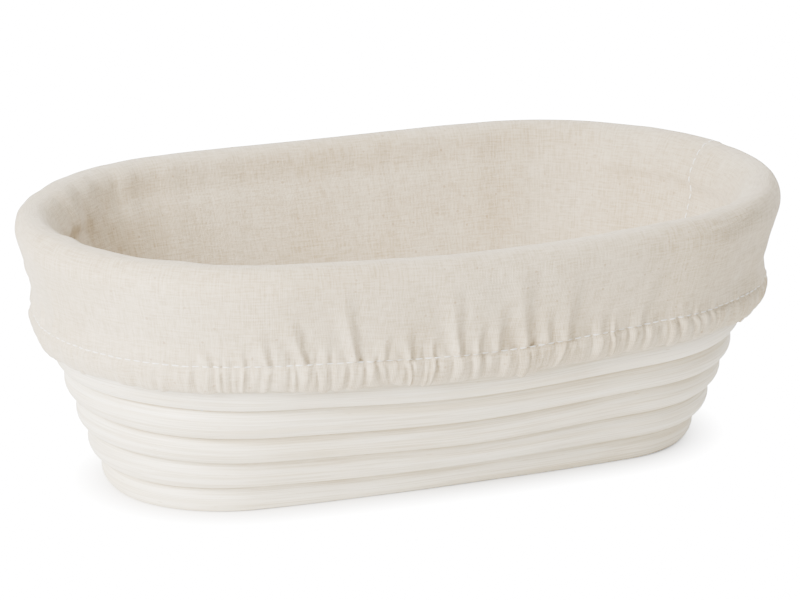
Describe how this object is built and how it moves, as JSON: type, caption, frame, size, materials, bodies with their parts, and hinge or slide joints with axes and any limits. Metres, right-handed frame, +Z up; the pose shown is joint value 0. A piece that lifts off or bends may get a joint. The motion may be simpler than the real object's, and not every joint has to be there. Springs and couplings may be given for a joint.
{
  "type": "oval proofing basket",
  "caption": "Oval basket of coiled round cane with a removable fitted cloth liner, for proofing bread dough.",
  "frame": {"origin": "middle of the face that the basket stands on", "axes": "+Z up, X along the long axis of the oval, -Y towards the long side that is seen as the front"},
  "size_m": [0.253, 0.16, 0.0862],
  "materials": {
    "cane": "bleached peeled rattan, smooth and dull with a faint sheen",
    "liner_cloth": "natural unbleached cotton and linen weave with small dark flecks",
    "thread": "off-white sewing thread",
    "elastic": "braided white elastic",
    "steel_wire": "galvanised wire"
  },
  "bodies": {
    "basket": {"cane_course_1": "cane", "cane_course_2": "cane", "cane_course_3": "cane", "cane_course_4": "cane", "cane_course_5": "cane", "cane_course_6": "cane", "cane_course_7": "cane", "cane_course_8": "cane", "cane_course_9": "cane", "base_turn_1": "cane", "base_turn_2": "cane", "base_core_front": "cane", "base_core_back": "cane", "wall_staples": "steel_wire", "base_staples": "steel_wire", "scarf_pins": "steel_wire"},
    "liner": {"liner_bottom": "liner_cloth", "liner_band": "liner_cloth", "liner_cuff": "liner_cloth", "hem_casing": "liner_cloth", "hem_elastic": "elastic", "hem_stitching": "thread", "bottom_seam_stitching": "thread", "side_seam_stitching": "thread"}
  },
  "joints": [
    {"name": "liner_lift", "type": "slide", "parent": "basket", "child": "liner", "axis": [0, 0, 1], "range_m": [0, 0.1], "deforming": ["liner_cuff", "hem_casing", "hem_elastic", "hem_stitching"]}
  ]
}
